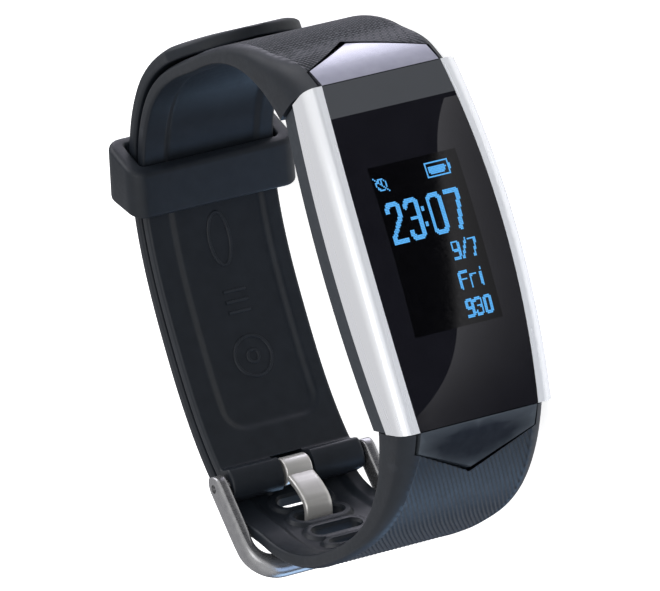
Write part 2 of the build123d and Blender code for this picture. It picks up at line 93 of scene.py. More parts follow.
lens_low, lens_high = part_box("cover_lens")
ORIGIN = np.array([(lens_low.x + lens_high.x) / 2, lens_low.y, (lens_low.z + lens_high.z) / 2])
pin_low, pin_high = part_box("buckle_pin")
PIN = np.array([(pin_low.x + pin_high.x) / 2, (pin_low.y + pin_high.y) / 2, ORIGIN[2]])


def smooth(x):
    x = np.clip(x, 0.0, 1.0)
    return x * x * (3 - 2 * x)


def row_frame(u, w, d):
    """Points of the row frame, in metres, from the display's own coordinates in millimetres."""
    u, w, d = np.broadcast_arrays(u, w, d)
    return ORIGIN + np.stack([u, d, -w], axis=-1) * MM


# ---- meshes ----
def make_object(name, verts, faces):
    mesh = bpy.data.meshes.new(name)
    mesh.from_pydata(verts.reshape(-1, 3).tolist(), [], faces)
    work = bmesh.new()
    work.from_mesh(mesh)
    bmesh.ops.recalc_face_normals(work, faces=work.faces)
    work.to_mesh(mesh)
    work.free()
    piece = bpy.data.objects.new(name, mesh)
    bpy.context.scene.collection.objects.link(piece)
    return piece


def grid_faces(rows, columns, wrap_rows=False, turned=False):
    """Quads of a grid whose columns are closed. Turned quads have their first corner one row on, so
    that they are split along the other diagonal."""
    faces = []
    for i in range(rows if wrap_rows else rows - 1):
        here, there = i * columns, (i + 1) % rows * columns
        for j in range(columns):
            k = (j + 1) % columns
            quad = (here + j, there + j, there + k, here + k)
            faces.append(quad[1:] + quad[:1] if turned else quad)
    return faces


def skin(name, rings, closed=False, turned=False):
    """A closed skin through rings of points, (ring, point, xyz). Open ends are capped."""
    rows, columns = rings.shape[:2]
    faces = grid_faces(rows, columns, closed, turned)
    if not closed:
        faces.append(tuple(range(columns)))
        faces.append(tuple(range((rows - 1) * columns, rows * columns)))
    return make_object(name, rings, faces)


def bake(piece):
    """Applies the piece's modifiers."""
    depsgraph = bpy.context.evaluated_depsgraph_get()
    mesh = bpy.data.meshes.new_from_object(piece.evaluated_get(depsgraph), depsgraph=depsgraph)
    piece.modifiers.clear()
    piece.data = mesh


def combine(piece, tool, operation="DIFFERENCE"):
    """Cuts the tool from the piece, or adds it, and deletes the tool."""
    modifier = piece.modifiers.new("combine", "BOOLEAN")
    modifier.operation = operation
    modifier.solver = "MANIFOLD"
    modifier.object = tool
    bake(piece)
    bpy.data.objects.remove(tool)


def shade(piece, degrees=32):
    """Smooth shading, with edges sharper than an angle left crisp."""
    piece.data.shade_smooth()
    piece.data.set_sharp_from_angle(angle=math.radians(degrees))


def rounded_rectangle(half_x, low_y, high_y, radius, per_corner=6, per_side=10):
    """Points of a rounded rectangle, (point, xy), as many for any size."""
    points = []
    corners = ((half_x, high_y, 0), (-half_x, high_y, 90), (-half_x, low_y, 180), (half_x, low_y, 270))
    arcs = []
    for x, y, turn in corners:
        centre = (x - math.copysign(radius, x), y - radius if y == high_y else y + radius)
        arcs.append([(centre[0] + radius * math.cos(math.radians(turn + 90 * i / per_corner)),
                      centre[1] + radius * math.sin(math.radians(turn + 90 * i / per_corner)))
                     for i in range(per_corner + 1)])
    for here, there in zip(arcs, arcs[1:] + arcs[:1]):
        points += here
        start, end = np.array(here[-1]), np.array(there[0])
        points += [tuple(start + (end - start) * i / per_side) for i in range(1, per_side)]
    return np.array(points)


# ---- the straps ----
def contour(hand, angle):
    """The loop's inside radius. hand is 1 for the strap at 12 o'clock and -1 for the one at 6 o'clock,
    and the angle, in degrees, is counted from the strap's own end of the module."""
    a = np.radians(angle)
    across_u = np.abs(np.cos(a) / LOOP_HALF_U) ** LOOP_POWER
    across_d = np.abs(np.sin(a) / LOOP_HALF_D) ** LOOP_POWER
    from_top = angle if hand > 0 else 180 - angle
    flattening = FLAT_TOP * smooth((FLAT_FROM - from_top) / FLAT_OVER)
    return (across_u + across_d) ** (-1 / LOOP_POWER) - flattening


def thickness(hand, angle):
    share = np.clip((-angle - ROOT_FROM) / ROOT_ANGLES, 0, None)
    fill = FLAT_TOP * smooth((-angle - FILL_FROM) / FILL_OVER) if hand > 0 else 0.0
    return STRAP + ROOT * share ** ROOT_POWER + fill


DENSE = np.linspace(-56.0, 200.0, 5121)


def lengths_along(hand):
    radius, a = contour(hand, DENSE), np.radians(DENSE)
    places = np.stack([radius * np.cos(a), radius * np.sin(a)], axis=1)
    length = np.concatenate([[0], np.cumsum(np.linalg.norm(np.diff(places, axis=0), axis=1))])
    return length - np.interp(ROOT_INNER[hand], DENSE, length)


LENGTHS = {hand: lengths_along(hand) for hand in (1, -1)}


def length_at(hand, angle):
    return np.interp(angle, DENSE, LENGTHS[hand])


def angle_at(hand, length):
    return np.interp(length, LENGTHS[hand], DENSE)


def strap_point(hand, angle, w, t):
    """The place at an angle along a strap, across it, and out from the face that lies on the wrist."""
    a = np.radians(angle)
    radius = contour(hand, angle) + t
    return row_frame(hand * radius * np.cos(a), w, LOOP_D + radius * np.sin(a))


def lift(angle):
    return LIFT * smooth((angle - LIFT_FROM) / LIFT_ANGLES)


def hole_angles():
    """The strap's holes are a pitch apart, measured along the strap where it lies."""
    def along(angle, length):
        return angle + math.degrees(length / float(contour(-1, angle) + lift(angle)))
    angle = BUCKLED_HOLE
    for _ in range(HOLES_BEFORE):
        angle = along(angle, -HOLE_PITCH)
    angles = []
    for _ in range(HOLE_COUNT):
        angles.append(angle)
        angle = along(angle, HOLE_PITCH)
    return angles


def near_hole(s, w):
    """1 on a hole's rim and 0 away from it."""
    rim = np.zeros(np.broadcast(s, w).shape)
    for angle in hole_angles():
        over = np.hypot(s - length_at(-1, angle), np.maximum(np.abs(w) - HOLE_HALF_W + HOLE_R, 0)) - HOLE_R
        rim = np.maximum(rim, 1 - smooth((over - HOLE_RIM) / HOLE_RIM_FADE))
    return rim


def sunk(s, w, start, end, half, radius, step):
    """1 inside a long panel with round corners, 0 outside it."""
    past_end = np.maximum(np.maximum(start + radius - s, s - (end - radius)), 0)
    past_side = np.maximum(np.abs(w) - (half - radius), 0)
    inside = radius - np.hypot(past_side, past_end)
    return smooth(inside / step + MIDDLE)


def ribs(hand, s, w, half):
    """Depth of the fine slanted grooves of the outer face."""
    wave = (0.5 - 0.5 * np.cos(2 * np.pi * (w + hand * RIB_SLOPE * s) / RIB_PITCH)) ** 1.3
    fade = smooth((half - np.abs(w)) / RIB_EDGE) * smooth((RIB_LENGTH - s) / RIB_FADE)
    return RIB_DEPTH * wave * fade


def strap_rings(hand, s, inner, outer, half, recess, panel):
    """Rings of points round a strap at stations s. inner and outer are the two faces' distances,
    half is half the width, and recess and panel are the ends of the sunk parts of the two faces."""
    s, inner, outer, half = (v[:, None] for v in (s, inner, outer, half))
    narrow = np.minimum(half / 3.0, 1.0)                    # scales the borders down near a tip
    band = (SIDE_BAND + SIDE_BAND_ROOT * np.exp(-s / SIDE_BAND_REACH)) * narrow
    extra_drop = UPPER_DROP * smooth(1 - s / UPPER_DROP_REACH) if hand > 0 else 0.0
    drop = (SIDE_DROP + extra_drop) * (outer - inner)
    flat = half - band

    across = np.linspace(-1, 1, OUTER_POINTS)[None, :]
    top_w = across * flat
    top_t = outer - ribs(hand, s, top_w, flat)
    if panel:
        sink = sunk(s, top_w, *panel, PANEL_HALF, PANEL_HALF, PANEL_STEP)
        top_t = top_t - PANEL * sink * (1 - near_hole(s, top_w))

    start = math.radians(CORNER_START)
    turn = np.linspace(start, math.pi / 2, 7)[None, 1:]
    corner_w = flat + band * (np.sin(turn) - math.sin(start)) / (1 - math.sin(start))
    corner_t = outer - drop * (math.cos(start) - np.cos(turn)) / math.cos(start)
    low_round = np.minimum(INNER_ROUND, 0.3 * (outer - inner)) * narrow
    side = np.linspace(0, 1, 5)[None, 1:]
    side_t = (outer - drop) * (1 - side) + (inner + low_round) * side
    side_w = half + 0 * side
    turn = np.linspace(0, math.pi / 2, 5)[None, 1:]
    low_w = half - low_round * (1 - np.cos(turn))
    low_t = inner + low_round * (1 - np.sin(turn))

    in_w = (half - low_round) * np.linspace(1, -1, WRIST_POINTS)[None, 1:-1]
    sink = sunk(s, in_w - RECESS_MID, *recess, RECESS_HALF, RECESS_ROUND, RECESS_STEP)
    if panel:
        sink = sink * (1 - near_hole(s, in_w))
    in_t = inner + RECESS * sink

    w = np.concatenate([top_w, corner_w, side_w, low_w, in_w,
                        -low_w[:, ::-1], -side_w[:, ::-1], -corner_w[:, ::-1]], axis=1)
    t = np.concatenate([top_t, corner_t, side_t, low_t, in_t,
                        low_t[:, ::-1], side_t[:, ::-1], corner_t[:, ::-1]], axis=1)
    through = (t - inner) / (outer - inner)                 # 0 on the wrist face, 1 on the outer one
    return w, t, through


def outer_lean(hand, s):
    """How many degrees further towards the glass the outer face is than the wrist face."""
    return (ROOT_OUTER - ROOT_INNER[hand]) * (1 - smooth(s / LEAN_REACH))


def strap_skin(name, hand, s, inner, outer, half, recess, panel):
    w, t, through = strap_rings(hand, s, inner, outer, half, recess, panel)
    angle = angle_at(hand, s)[:, None] + outer_lean(hand, s)[:, None] * np.clip(through, 0, 1)
    return skin(name, strap_point(hand, angle, w, t), turned=hand > 0)


def half_width(hand, angle):
    depth = LOOP_D + contour(hand, angle) * np.sin(np.radians(angle))
    return np.interp(depth, *WIDTHS)


def box_tool(low, high):
    """A box between two corners in (u, w, d)."""
    u, w, d = (np.array([a, b]) for a, b in zip(low, high))
    ring = [(u[0], w[0]), (u[1], w[0]), (u[1], w[1]), (u[0], w[1])]
    rings = np.array([[row_frame(x, y, depth) for x, y in ring] for depth in d])
    return skin("tool", rings)


def rod_tool(centre, radius, half_w, sides=32):
    """A rod across the band, round a point in (u, d)."""
    turn = np.linspace(0, 2 * np.pi, sides, endpoint=False)
    u, d = centre[0] + radius * np.cos(turn), centre[1] + radius * np.sin(turn)
    return skin("tool", np.stack([row_frame(u, w, d) for w in (-half_w, half_w)]))


TRIM_BASE, TRIM_SHOULDER, TRIM_TIP, TRIM_HALF, TRIM_GAP, TRIM_DEEP = 19.4, 21.4, 23.9, 7.3, 0.35, 1.25
LUG_AT, LUG_LONG, LUG_HALF, LUG_DEPTHS = 19.5, 4.4, 3.1, (5.9, 8.5)
LINK_PIN, PIN_R = (20.5, 7.2), 0.65
TONGUE_NOTCH = (6.1, 2.1, 2.05, 6.0)      # from the pin: towards 6 and 12 o'clock, half across, half deep


def pocket_tool(hand):
    """The pointed pocket that a trim lies in, following the strap's outer face."""
    base, tip = TRIM_BASE - TRIM_GAP, TRIM_TIP + 1.3 * TRIM_GAP
    angles = np.linspace(-56, -30, 400)
    radius = contour(hand, angles) + thickness(hand, angles) - TRIM_DEEP
    u_floor, d_floor = radius * np.cos(np.radians(angles)), LOOP_D + radius * np.sin(np.radians(angles))
    rings = []
    for u in [base, *np.linspace(TRIM_SHOULDER, tip - 0.02, 12)]:
        half = (TRIM_HALF + TRIM_GAP) * min(1.0, (tip - u) / (tip - TRIM_SHOULDER))
        floor = np.interp(u, u_floor, d_floor)
        rings.append(row_frame(hand * u, np.array([-half, half, half, -half]),
                               np.array([floor, floor, -3.0, -3.0])))
    return skin("tool", np.array(rings))


def cut_root(piece, hand):
    combine(piece, pocket_tool(hand))
    near, far = sorted((hand * (LUG_AT - LUG_LONG / 2), hand * (LUG_AT + LUG_LONG / 2)))
    combine(piece, box_tool((near, -LUG_HALF, LUG_DEPTHS[0]), (far, LUG_HALF, LUG_DEPTHS[1])))
    combine(piece, rod_tool((hand * LINK_PIN[0], LINK_PIN[1]), PIN_R, 8.0))


def build_upper_strap():
    """Thin round the wrist, with a roll at its end round the buckle pin and a notch for the tongue."""
    pin_s = float(length_at(1, PIN_ANGLE))
    roll = STRAP
    along = np.arange(0, pin_s, STEP)
    round_end = pin_s + roll * np.sin(np.radians(np.linspace(0, 88, 12)))
    s = np.concatenate([along, round_end])
    past = s - pin_s
    circle = np.sqrt(np.clip(roll ** 2 - np.clip(past, 0, None) ** 2, 1e-4, None))
    inner = np.where(past < 0, -roll * smooth((past + ROLL_BLEND_FROM) / ROLL_BLEND), -circle)
    outer = np.where(past < 0, thickness(1, angle_at(1, s) + outer_lean(1, s)), circle)
    half = half_width(1, angle_at(1, s))
    recess = (RECESS_START, pin_s - RECESS_BEFORE_PIN)
    strap = strap_skin("strap_upper", 1, s, inner, outer, half, recess, None)
    pin_u, pin_d = (PIN[0] - ORIGIN[0]) / MM, (PIN[1] - ORIGIN[1]) / MM
    combine(strap, rod_tool((pin_u, pin_d), PIN_R, 11.0))
    u_low, u_high, half_w, half_d = TONGUE_NOTCH
    combine(strap, box_tool((pin_u - u_low, -half_w, pin_d - half_d),
                            (pin_u + u_high, half_w, pin_d + half_d)))
    cut_root(strap, 1)
    return strap


def hole_tool(angle):
    """A long round-ended hole through the lower strap, wider at both faces."""
    turn = np.linspace(0, 2 * np.pi, 28, endpoint=False)
    low = float(lift(angle))
    near_side = ((-1.2, HOLE_FLARE), (0.02, HOLE_FLARE), (FLARE_DEEP, 0.0))
    levels = near_side + tuple((STRAP - t, wider) for t, wider in reversed(near_side))
    rings = []
    for t, wider in levels:
        radius = HOLE_R + wider
        w = radius * np.sin(turn) + np.where(np.sin(turn) > 0, 1, -1) * (HOLE_HALF_W - HOLE_R)
        along = radius * np.cos(turn)
        a = math.radians(angle)
        mid = contour(-1, angle) + low + t
        u = -(mid * math.cos(a) - along * math.sin(a))
        d = LOOP_D + mid * math.sin(a) + along * math.cos(a)
        rings.append(row_frame(u, w, d))
    return skin("tool", np.array(rings))


def build_lower_strap():
    """The strap with the holes: it passes over the upper strap and ends in a thin rounded tail."""
    end_s = float(length_at(-1, TAIL_ANGLE))
    from_tip = TAIL_ROUND * (1 - np.cos(np.radians(np.linspace(3, 90, 44))))
    s = np.concatenate([np.arange(0, end_s - TAIL_ROUND, STEP), (end_s - from_tip)[::-1]])
    angle = angle_at(-1, s)
    left = end_s - s
    half = half_width(-1, angle)
    tail = TAIL_HALF * np.sqrt(np.clip(1 - (np.clip(TAIL_ROUND - left, 0, None) / TAIL_ROUND) ** 2, 0, None))
    half = np.minimum(half, tail)
    inner, outer = lift(angle), lift(angle) + thickness(-1, angle + outer_lean(-1, s))
    past_edge = 1 - np.clip(left / TIP_EDGE, 0, 1)
    thin = TIP_THINNING * (1 - np.sqrt(np.clip(1 - past_edge ** 2, 0, None)))
    middle = (inner + outer) / 2
    inner, outer = inner + (middle - inner) * thin, outer - (outer - middle) * thin
    holes = hole_angles()
    first, last = (float(length_at(-1, hole)) for hole in (holes[0], holes[-1]))
    panel = (first - PANEL_PAST_HOLES, last + PANEL_PAST_HOLES)
    strap = strap_skin("strap_lower", -1, s, inner, outer, half, (RECESS_START, panel[1]), panel)
    for hole in holes:
        combine(strap, hole_tool(hole))
    cut_root(strap, -1)
    return strap


# ---- the keeper loop ----
KEEPER_FROM, KEEPER_TO = 42.5, 54.5
KEEPER_WALL, PLAY, BAND_HALF = 1.4, 0.35, 8.5
KEEPER_HALF = 10.7
KEEPER_ROUND_IN, KEEPER_ROUND_OUT = 0.5, 1.9        # corners of its opening and of its outside


def edge_profile(length, wall, corner_in=0.25, corner_out=0.55):
    """The wall's section: (along, share of the wall from inside to outside) with rounded corners."""
    half = length / 2
    points = []
    for x, y, radius, turn in ((half, wall, corner_out, 0), (-half, wall, corner_out, 90),
                               (-half, 0, corner_in, 180), (half, 0, corner_in, 270)):
        centre = (x - math.copysign(radius, x), y - radius if y else radius)
        for i in range(7):
            a = math.radians(turn + 15 * i)
            points.append((centre[0] + radius * math.cos(a), (centre[1] + radius * math.sin(a)) / wall))
    return np.array(points)


def build_keeper():
    """A thick loop round both straps, with soft corners."""
    over = 2 * STRAP + LIFT - STRAP + PLAY
    inside = rounded_rectangle(BAND_HALF + PLAY, -PLAY, over, KEEPER_ROUND_IN)
    outside = rounded_rectangle(KEEPER_HALF, -PLAY - KEEPER_WALL, over + KEEPER_WALL, KEEPER_ROUND_OUT)
    middle = (KEEPER_FROM + KEEPER_TO) / 2
    width = float(length_at(1, KEEPER_TO) - length_at(1, KEEPER_FROM))
    rings = []
    for along, share in edge_profile(width, KEEPER_WALL):
        w, t = (inside * (1 - share) + outside * share).T
        angle = float(angle_at(1, length_at(1, middle) + along))
        rings.append(strap_point(1, angle, w, t))
    return skin("keeper_band", np.array(rings), closed=True)


# ---- the buckle ----
FRAME_TURN, FRAME_REACH = 196.5, 10.6
FRAME_HALF, FRAME_INNER_HALF, BAR_R = 10.3, 8.8, 1.4
BAR_INNER = 9.2                           # from the pin to the bar's near side
FRAME_ROUND_IN, FRAME_ROUND_OUT = 2.2, 4.2
ARMS_FROM, ARMS_OVER = 5.0, 5.0           # distances from the pin where flat arms turn into the round bar
EAR_HOLE_R = 0.5
TONGUE_HALF, TONGUE_THICK, RUNNING = 1.7, 0.9, 0.05
TONGUE_PATH = ((-18.2, 45.9), (-19.9, 44.5), (-21.8, 43.8),         # (u, d) from the pin to the tip
               (-23.9, 44.8), (-25.8, 46.15), (-28.4, 46.25))
TONGUE_TIP = 1.5                          # length over which the tip thins out


def buckle_point(x, w, height):
    """A point from its distance along the frame's arms, across the band, and out of their plane."""
    a = math.radians(FRAME_TURN)
    x, w, height = np.broadcast_arrays(x, w, height)
    along_x = x * math.cos(a) - height * math.sin(a)
    along_y = x * math.sin(a) + height * math.cos(a)
    return PIN + np.stack([along_x, along_y, -w], axis=-1) * MM


def u_path(half, far, radius, ear_x, straight=18, corner=14, bar=16):
    """Half the outline of a U: ears at ear_x, then arms, corners of a radius, and the far side."""
    arm = [(x, half) for x in ear_x]
    arm += [(x, half) for x in np.linspace(0, far - radius, straight)[1:]]
    bend = [(far - radius + radius * math.sin(a), half - radius + radius * math.cos(a))
            for a in np.linspace(0, math.pi / 2, corner)[1:]]
    cross = [(far, w) for w in np.linspace(half - radius, 0, bar // 2 + 1)[1:]]
    one_side = arm + bend + cross
    return np.array(one_side + [(x, -w) for x, w in reversed(one_side[:-1])])


def build_frame():
    """A rounded steel U: flat-sided arms with round ears on the pin, and a rounder far bar."""
    ear_x = BAR_R * -np.cos(np.radians(np.linspace(4, 90, 14)))
    outer = u_path(FRAME_HALF, FRAME_REACH + BAR_R, FRAME_ROUND_OUT, ear_x)
    inner = u_path(FRAME_INNER_HALF, BAR_INNER, FRAME_ROUND_IN, ear_x)
    turn = np.linspace(0, 2 * np.pi, 40, endpoint=False)
    rings = []
    for (x_out, w_out), (x_in, w_in) in zip(outer, inner):
        x = (x_out + x_in) / 2
        arm = 1 - smooth((x - ARMS_FROM) / ARMS_OVER)
        power = 2 / (2.2 + 1.8 * arm)
        height = math.sqrt(max(BAR_R ** 2 - min(x, 0) ** 2, 1e-4))
        share = MIDDLE + MIDDLE * np.sign(np.cos(turn)) * np.abs(np.cos(turn)) ** power
        rise = height * np.sign(np.sin(turn)) * np.abs(np.sin(turn)) ** power
        rings.append(buckle_point(x_in + (x_out - x_in) * share, w_in + (w_out - w_in) * share, rise))
    piece = skin("buckle_bow", np.array(rings))
    sides = np.linspace(0, 2 * np.pi, 24, endpoint=False)
    bore = [buckle_point(EAR_HOLE_R * np.cos(sides), w, EAR_HOLE_R * np.sin(sides)) for w in (-11, 11)]
    combine(piece, skin("tool", np.array(bore)))
    return piece


def curve_through(points, steps=12):
    """A smooth curve through a few points."""
    points = np.array([2 * np.array(points[0]) - points[1], *points, 2 * np.array(points[-1]) - points[-2]])
    out = []
    for before, here, there, after in zip(points, points[1:], points[2:], points[3:]):
        for x in np.linspace(0, 1, steps, endpoint=False):
            out.append(0.5 * (2 * here + (there - before) * x
                              + (2 * before - 5 * here + 4 * there - after) * x * x
                              + (3 * here - before - 3 * there + after) * x ** 3))
    out.append(points[-2])
    return np.array(out)


def build_tongue():
    """A strip that is rolled round the pin, dips to the strap and comes up to lie on the bar."""
    path = curve_through(TONGUE_PATH)
    step = np.gradient(path, axis=0)
    normal = np.stack([-step[:, 1], step[:, 0]], axis=1) / np.linalg.norm(step, axis=1)[:, None]
    left = np.concatenate([np.cumsum(np.linalg.norm(np.diff(path, axis=0), axis=1)[::-1])[::-1], [0]])
    turn = np.linspace(0, 2 * np.pi, 40, endpoint=False)
    rings = []
    for (u, d), (nu, nd), rest in zip(path, normal, left):
        tip = math.sqrt(max(1 - (1 - min(rest, TONGUE_TIP) / TONGUE_TIP) ** 2, 4e-3))
        w = TONGUE_HALF * (0.3 + 0.7 * tip) * np.sign(np.cos(turn)) * np.abs(np.cos(turn)) ** 0.32
        rise = TONGUE_THICK / 2 * tip * np.sign(np.sin(turn)) * np.abs(np.sin(turn)) ** 0.5
        rings.append(row_frame(u + nu * rise, w, d + nd * rise))
    plate = skin("buckle_prong", np.array(rings))

    around = np.linspace(0, 2 * np.pi, 48, endpoint=False)
    roll_rings = []
    for along, share in edge_profile(2 * TONGUE_HALF, TONGUE_THICK, 0.12, 0.22):
        radius = PIN_R + RUNNING + share * TONGUE_THICK
        out = np.stack([radius * np.cos(around), radius * np.sin(around), np.full(48, along)], axis=-1)
        roll_rings.append(PIN + out * MM)
    combine(plate, skin("tool", np.array(roll_rings), closed=True), "UNION")
    return plate


# ---- generic raised shapes on the wrist face, in place of moulded marks ----
def bead(hand, path, half=0.2, height=0.13, closed=False):
    """A low rounded bead along a path of (s, w) on the sunk floor of a strap's wrist face."""
    path = np.array(path)
    if closed:
        step = np.roll(path, -1, axis=0) - np.roll(path, 1, axis=0)
    else:
        step = np.gradient(path, axis=0)
    normal = np.stack([-step[:, 1], step[:, 0]], axis=1) / np.linalg.norm(step, axis=1)[:, None]
    rings = []
    for (s, w), (ns, nw) in zip(path, normal):
        section = ((-half, 0.1), (-half, -0.3 * height), (-0.6 * half, -height), (0.6 * half, -height),
                   (half, -0.3 * height), (half, 0.1))
        rings.append([strap_point(hand, angle_at(hand, s + ns * x), w + nw * x, RECESS + y)
                      for x, y in section])
    return skin("bead", np.array(rings), closed=closed)


def round_path(s, w, half_s, half_w, points=36):
    turn = np.linspace(0, 2 * np.pi, points, endpoint=False)
    return np.stack([s + half_s * np.cos(turn), w + half_w * np.sin(turn)], axis=1)


SHAPES_AT = (65.4, 82.8, 99.0)            # where the oval, the bars and the ring are, in degrees


def raised_shapes():
    """A long oval, three bars and a ring with a dot."""
    oval_s, bars_s, ring_s = (float(length_at(1, a)) for a in SHAPES_AT)
    shapes = [bead(1, round_path(oval_s, 0.2, 3.0, 1.3), closed=True)]
    shapes += [bead(1, [(bars_s + x, -0.9), (bars_s + x, 0.5), (bars_s + x, 1.9)]) for x in (-1.2, 0.0, 1.2)]
    shapes.append(bead(1, round_path(ring_s, 0.6, 2.3, 2.3), closed=True))
    shapes.append(bead(1, round_path(ring_s, 0.6, 0.7, 0.7, 20), closed=True))
    return shapes


def join(piece, others):
    """Adds other objects' meshes to a piece's."""
    work = bmesh.new()
    work.from_mesh(piece.data)
    for other in others:
        work.from_mesh(other.data)
        bpy.data.objects.remove(other)
    work.to_mesh(piece.data)
    work.free()


# ---- what the display shows ----
PIXEL = 0.172
WINDOW_HALF_W, WINDOW_HALF_U = 5.5, 9.45
LENS_HALF, LENS_SAG = 19.3, 1.6
LENS_R = (LENS_HALF ** 2 + LENS_SAG ** 2) / (2 * LENS_SAG)


def lens_depth(u):
    return LENS_R - np.sqrt(LENS_R ** 2 - np.asarray(u, float) ** 2)


# Strokes of each sign on a grid 2 wide and 4 high, from its lower left corner.
SIGNS = {
    "0": [[(0.4, 0), (1.6, 0), (2, 0.4), (2, 3.6), (1.6, 4), (0.4, 4), (0, 3.6), (0, 0.4), (0.4, 0)]],
    "2": [[(0, 3.3), (0, 3.6), (0.4, 4), (1.6, 4), (2, 3.6), (2, 2.7), (0, 0.5), (0, 0), (2, 0)]],
    "3": [[(0, 3.4), (0, 3.6), (0.4, 4), (1.6, 4), (2, 3.6), (2, 2.4), (1.6, 2.1), (0.8, 2.1)],
          [(1.6, 2.1), (2, 1.8), (2, 0.4), (1.6, 0), (0.4, 0), (0, 0.4), (0, 0.7)]],
    "7": [[(0, 4), (2, 4), (2, 3.4), (1.1, 0)]],
    "9": [[(2, 2.0), (0.4, 2.0), (0, 2.4), (0, 3.6), (0.4, 4), (1.6, 4), (2, 3.6), (2, 0.4), (1.6, 0),
           (0.2, 0)]],
    ":": [[(1, 1.2), (1, 1.25)], [(1, 2.75), (1, 2.8)]],
    "/": [[(0.2, -0.2), (1.8, 4.2)]],
    "F": [[(0, 0), (0, 4), (2, 4)], [(0, 2.1), (1.6, 2.1)]],
    "r": [[(0.2, 0), (0.2, 2.9)], [(0.2, 2.3), (0.9, 2.9), (1.8, 2.9)]],
    "i": [[(1, 0), (1, 2.9)], [(1, 3.9), (1, 4.0)]],
}


def sign(character, w, u, width, height, pen):
    """Strokes of a sign with its lower left corner at (w, u), as (points, half the pen's width)."""
    return [([(w + x * width / 2, u + y * height / 4) for x, y in stroke], pen / 2)
            for stroke in SIGNS[character]]


def line_of_signs(characters, places, u, width, height, pen):
    strokes = []
    for character, w in zip(characters, places):
        strokes += sign(character, w, u, width, height, pen)
    return strokes


def display_strokes():
    """The time, the date, a count, a battery and a crossed ring."""
    strokes = line_of_signs("23:07", (-4.75, -2.5, -1.25, 0.35, 2.6), 0.95, 1.45, 4.1, 0.5)
    strokes += line_of_signs("9/7", (1.6, 2.65, 3.72), -2.25, 0.78, 1.8, 0.26)
    strokes += line_of_signs("Fri", (1.6, 2.75, 3.75), -5.5, 0.85, 1.75, 0.28)
    strokes += line_of_signs("930", (1.5, 2.62, 3.74), -8.6, 0.72, 1.75, 0.28)
    battery = [(1.25, 7.0), (4.0, 7.0), (4.0, 8.45), (1.25, 8.45), (1.25, 7.0)]
    strokes += [(battery, 0.09), ([(4.2, 7.5), (4.2, 7.95)], 0.12), ([(1.85, 7.6), (3.4, 7.6)], 0.3),
                ([(1.85, 7.85), (3.4, 7.85)], 0.3)]
    turn = np.linspace(0, 2 * np.pi, 13)
    ring = [(-4.45 + 0.6 * math.cos(a), 7.4 + 0.6 * math.sin(a)) for a in turn]
    strokes += [(ring, 0.09), ([(-5.3, 8.25), (-3.6, 6.55)], 0.1), ([(-4.45, 7.4), (-4.45, 7.9)], 0.09)]
    return strokes


def distance_to(points, w, u):
    """Distance from places on the display to a line of strokes."""
    best = np.full(w.shape, 1e9)
    for (w0, u0), (w1, u1) in zip(points, points[1:]):
        length = max((w1 - w0) ** 2 + (u1 - u0) ** 2, 1e-9)
        share = np.clip(((w - w0) * (w1 - w0) + (u - u0) * (u1 - u0)) / length, 0, 1)
        best = np.minimum(best, np.hypot(w - w0 - share * (w1 - w0), u - u0 - share * (u1 - u0)))
    return best


def build_pixels():
    """One small raised square for each lit pixel, just over the lens."""
    columns, rows = int(WINDOW_HALF_W / PIXEL), int(WINDOW_HALF_U / PIXEL)
    w, u = np.meshgrid(PIXEL * (np.arange(-columns, columns) + MIDDLE),
                       PIXEL * (np.arange(-rows, rows) + MIDDLE))
    lit = np.zeros(w.shape, bool)
    for points, half in display_strokes():
        lit |= distance_to(points, w, u) < half
    w, u = w[lit], u[lit]
    side = 0.44 * PIXEL
    verts, faces = [], []
    for depth, half in ((-0.004, side), (-0.022, side)):
        for dw, du in ((-1, -1), (1, -1), (1, 1), (-1, 1)):
            verts.append(row_frame(u + du * half, w + dw * half, lens_depth(u + du * half) + depth))
    verts = np.stack(verts, axis=1)
    cube = ((0, 1, 2, 3), (4, 5, 6, 7), (0, 1, 5, 4), (1, 2, 6, 5), (2, 3, 7, 6), (3, 0, 4, 7))
    for i in range(len(w)):
        faces += [tuple(8 * i + k for k in face) for face in cube]
    return make_object("display_pixels", verts, faces)


def build_window():
    """The display's window: a thin film on the lens, blacker than the print round it."""
    u = np.linspace(-WINDOW_HALF_U, WINDOW_HALF_U, 60)
    rings = []
    for x in u:
        w = np.array([-WINDOW_HALF_W, WINDOW_HALF_W, WINDOW_HALF_W, -WINDOW_HALF_W])
        rings.append(row_frame(x, w, lens_depth(x) + np.array([-0.003, -0.003, 0.02, 0.02])))
    return skin("display_window", np.array(rings))


# ---- materials ----
def noise(tree, scale, stretch=(1, 1, 1), detail=3.0):
    """Noise over the object's own coordinates, in metres, stretched along the larger values."""
    place = tree.nodes.new("ShaderNodeTexCoord")
    mapping = tree.nodes.new("ShaderNodeMapping")
    mapping.inputs["Scale"].default_value = stretch
    texture = tree.nodes.new("ShaderNodeTexNoise")
    texture.inputs["Scale"].default_value = scale
    texture.inputs["Detail"].default_value = detail
    tree.links.new(place.outputs["Object"], mapping.inputs["Vector"])
    tree.links.new(mapping.outputs["Vector"], texture.inputs["Vector"])
    return texture.outputs["Fac"]


def spread(tree, value, low, high, start=0.3, end=0.7):
    """Maps a value from start..end to low..high."""
    node = tree.nodes.new("ShaderNodeMapRange")
    for name, number in (("From Min", start), ("From Max", end), ("To Min", low), ("To Max", high)):
        node.inputs[name].default_value = number
    tree.links.new(value, node.inputs["Value"])
    return node.outputs["Result"]


